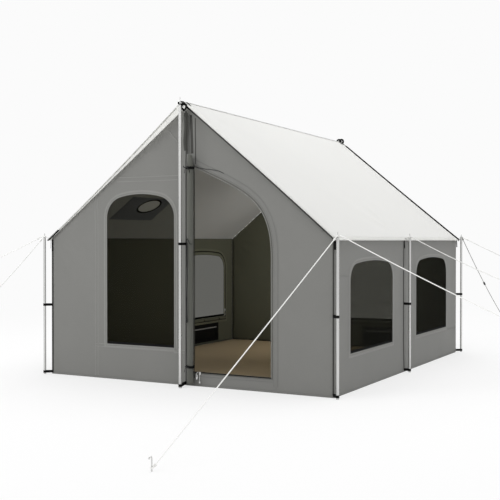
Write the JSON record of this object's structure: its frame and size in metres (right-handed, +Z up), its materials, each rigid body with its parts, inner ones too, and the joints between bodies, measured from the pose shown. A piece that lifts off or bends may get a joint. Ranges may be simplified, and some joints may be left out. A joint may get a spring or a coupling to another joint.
{
  "type": "canvas wall tent",
  "caption": "Canvas wall tent with a ridge pole, outside poles and guy ropes, a D-shaped door rolled up, screened windows and low vents, and a stove-pipe opening in the roof.",
  "frame": {"origin": "on the ground at the middle of the tent", "axes": "+X across the front from left to right, +Y from the front wall to the rear wall, +Z up"},
  "size_m": [5.3858, 8.6877, 2.6157],
  "materials": {
    "grey_canvas": "matt woven",
    "olive_canvas": "matt woven",
    "roof_cloth": "matt, lightly coated",
    "heat_sheet": "matt, coated",
    "ground_sheet": "woven, slightly glossy",
    "insect_screen": "fine mesh",
    "zip_tape": "matt",
    "zip_metal": "satin white",
    "black_webbing": "matt woven",
    "pale_steel": "satin galvanised",
    "white_rope": "braided",
    "black_plastic": "moulded"
  },
  "bodies": {
    "tent": {"door_roll": "grey_canvas", "door_tie_lower": "black_webbing", "door_tie_upper": "black_webbing", "door_zip_track": "zip_tape", "eave_pole_front_left": "pale_steel", "eave_pole_front_right": "pale_steel", "eave_pole_middle_left": "pale_steel", "eave_pole_middle_right": "pale_steel", "eave_pole_rear_left": "pale_steel", "eave_pole_rear_right": "pale_steel", "floor_sheet": "ground_sheet", "front_upright": "pale_steel", "guy_rope_front_left_ahead": "white_rope", "guy_rope_front_left_side": "white_rope", "guy_rope_front_right_ahead": "white_rope", "guy_rope_front_right_side": "white_rope", "guy_rope_middle_right": "white_rope", "guy_rope_rear_right_behind": "white_rope", "guy_rope_rear_right_side": "white_rope", "guy_stake": "pale_steel", "peak_strap_front": "black_webbing", "peak_strap_rear": "black_webbing", "rear_upright": "pale_steel", "ridge_pole": "pale_steel", "roof_panel_left": "roof_cloth", "roof_panel_right": "roof_cloth", "stove_jack_panel": "heat_sheet", "vent_screen_left": "insect_screen", "vent_screen_rear": "insect_screen", "wall_front": "grey_canvas", "wall_left": "grey_canvas", "wall_rear": "grey_canvas", "wall_right": "grey_canvas", "webbing_front_left": "black_webbing", "webbing_front_right": "black_webbing", "webbing_front_upright": "black_webbing", "webbing_middle_left": "black_webbing", "webbing_middle_right": "black_webbing", "webbing_rear_left": "black_webbing", "webbing_rear_right": "black_webbing", "webbing_rear_upright": "black_webbing", "window_cover_front": "olive_canvas", "window_cover_left_rear": "olive_canvas", "window_cover_rear": "olive_canvas", "window_cover_right_front": "olive_canvas", "window_cover_right_rear": "olive_canvas", "window_screen_front": "insect_screen", "window_screen_left_rear": "insect_screen", "window_screen_rear": "insect_screen", "window_screen_right_front": "insect_screen", "window_screen_right_rear": "insect_screen"},
    "door_slider": {"door_zip_slider": "zip_metal"},
    "door_pull": {"door_zip_pull": "zip_metal"},
    "front_window_slider": {"zip_slider_front": "zip_metal"},
    "rear_window_slider": {"zip_slider_rear": "zip_metal"},
    "left_window_slider": {"zip_slider_left_rear": "zip_metal"},
    "right_front_window_slider": {"zip_slider_right_front": "zip_metal"},
    "right_rear_window_slider": {"zip_slider_right_rear": "zip_metal"},
    "stove_jack_flap": {"stove_jack_flap": "roof_cloth"},
    "tensioner": {"guy_tensioner": "black_plastic"}
  },
  "joints": [
    {"name": "door_zip_run", "type": "slide", "parent": "tent", "child": "door_slider", "axis": [1, 0, 0], "range_m": [0, 0.7]},
    {"name": "door_pull_swing", "type": "hinge", "parent": "door_slider", "child": "door_pull", "pos_m": [0.205, -1.8416, 0.12], "axis": [0, 1, 0], "range_deg": [-80, 12]},
    {"name": "front_window_zip_run", "type": "slide", "parent": "tent", "child": "front_window_slider", "axis": [0, 0, 1], "range_m": [0, 0.7]},
    {"name": "rear_window_zip_run", "type": "slide", "parent": "tent", "child": "rear_window_slider", "axis": [0, 0, 1], "range_m": [0, 0.7]},
    {"name": "left_window_zip_run", "type": "slide", "parent": "tent", "child": "left_window_slider", "axis": [0, 0, 1], "range_m": [0, 0.4]},
    {"name": "right_front_window_zip_run", "type": "slide", "parent": "tent", "child": "right_front_window_slider", "axis": [0, 0, 1], "range_m": [0, 0.4]},
    {"name": "right_rear_window_zip_run", "type": "slide", "parent": "tent", "child": "right_rear_window_slider", "axis": [0, 0, 1], "range_m": [0, 0.4]},
    {"name": "stove_jack_flap_hinge", "type": "hinge", "parent": "tent", "child": "stove_jack_flap", "pos_m": [-0.94464, -0.821, 1.80396], "axis": [-0.009, 1, 0], "range_deg": [0, 150]},
    {"name": "tensioner_slide", "type": "slide", "parent": "tent", "child": "tensioner", "axis": [0, 0.8857, -0.4642], "range_m": [-0.12, 0.12]}
  ]
}
